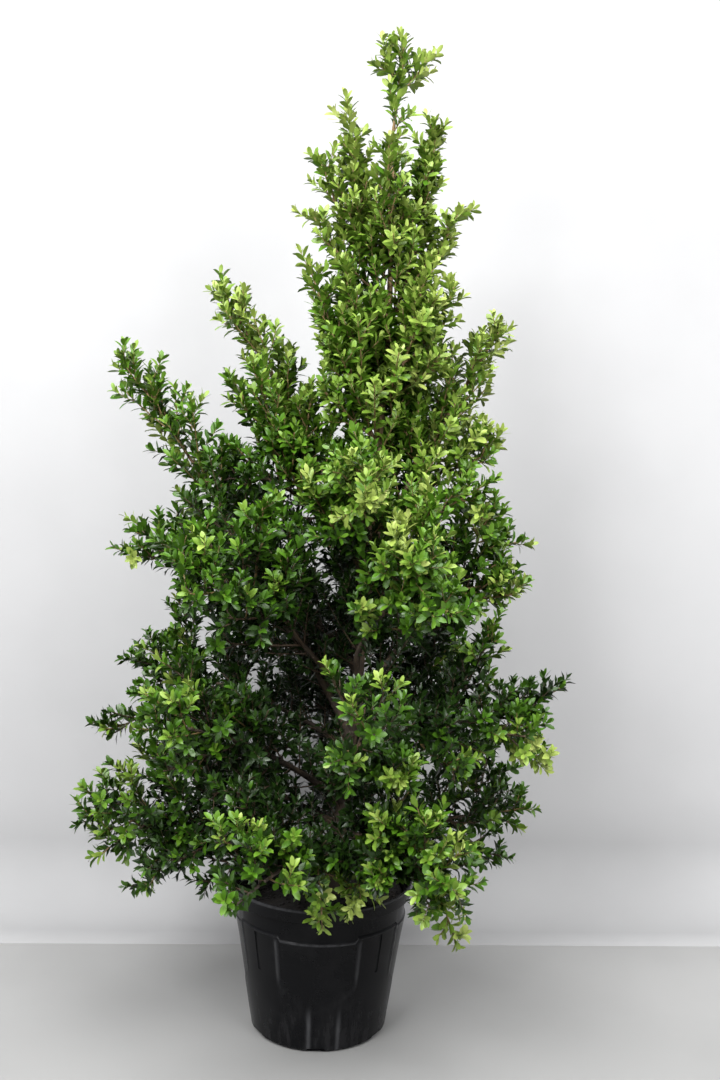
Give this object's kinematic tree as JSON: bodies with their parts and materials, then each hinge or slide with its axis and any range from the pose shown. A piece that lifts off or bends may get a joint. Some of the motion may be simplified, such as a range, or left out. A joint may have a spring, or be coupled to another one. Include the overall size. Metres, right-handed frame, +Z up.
{
  "type": "potted holly",
  "caption": "Upright small-leaved holly shrub in a round black nursery pot with a ribbed wall, its loose tapering crown broadest low down and drawn up to a leafy leader.",
  "frame": {"origin": "centre of the pot's flat underside, where it stands on the ground", "axes": "+Z up; the side that faces the viewer in the picture is -Y, and the crown's long lower shoot points to -X"},
  "size_m": [1.0342, 1.0578, 2.1422],
  "materials": {
    "pot": "satin black injection-moulded plastic",
    "soil": "dark moist potting mix",
    "bark": "brown to greyish bark",
    "foliage": "glossy evergreen leaves, brighter on new growth"
  },
  "bodies": {
    "root": {"bough_long_left": "bark", "bough_long_right": "bark", "bough_lower_1": "bark", "bough_lower_2": "bark", "bough_lower_3": "bark", "bough_lower_4": "bark", "bough_lower_5": "bark", "bough_lower_6": "bark", "bough_middle_1": "bark", "bough_middle_2": "bark", "bough_middle_3": "bark", "bough_middle_4": "bark", "bough_middle_5": "bark", "bough_skirt_1": "bark", "bough_skirt_2": "bark", "bough_skirt_3": "bark", "bough_skirt_4": "bark", "bough_skirt_5": "bark", "bough_skirt_6": "bark", "bough_slim_left": "bark", "bough_upper_1": "bark", "bough_upper_2": "bark", "bough_upper_3": "bark", "bough_upper_4": "bark", "foliage_column_1": "foliage", "foliage_column_2": "foliage", "foliage_column_3": "foliage", "foliage_column_4": "foliage", "foliage_leader": "foliage", "foliage_long_left": "foliage", "foliage_long_right": "foliage", "foliage_lower_1": "foliage", "foliage_lower_2": "foliage", "foliage_lower_3": "foliage", "foliage_lower_4": "foliage", "foliage_lower_5": "foliage", "foliage_lower_6": "foliage", "foliage_middle_1": "foliage", "foliage_middle_2": "foliage", "foliage_middle_3": "foliage", "foliage_middle_4": "foliage", "foliage_middle_5": "foliage", "foliage_skirt_1": "foliage", "foliage_skirt_2": "foliage", "foliage_skirt_3": "foliage", "foliage_skirt_4": "foliage", "foliage_skirt_5": "foliage", "foliage_skirt_6": "foliage", "foliage_slim_left": "foliage", "foliage_upper_1": "foliage", "foliage_upper_2": "foliage", "foliage_upper_3": "foliage", "foliage_upper_4": "foliage", "foliage_waist_1": "foliage", "foliage_waist_2": "foliage", "foliage_waist_3": "foliage", "foliage_waist_4": "foliage", "pot": "pot", "soil": "soil", "trunk": "bark"}
  },
  "joints": []
}
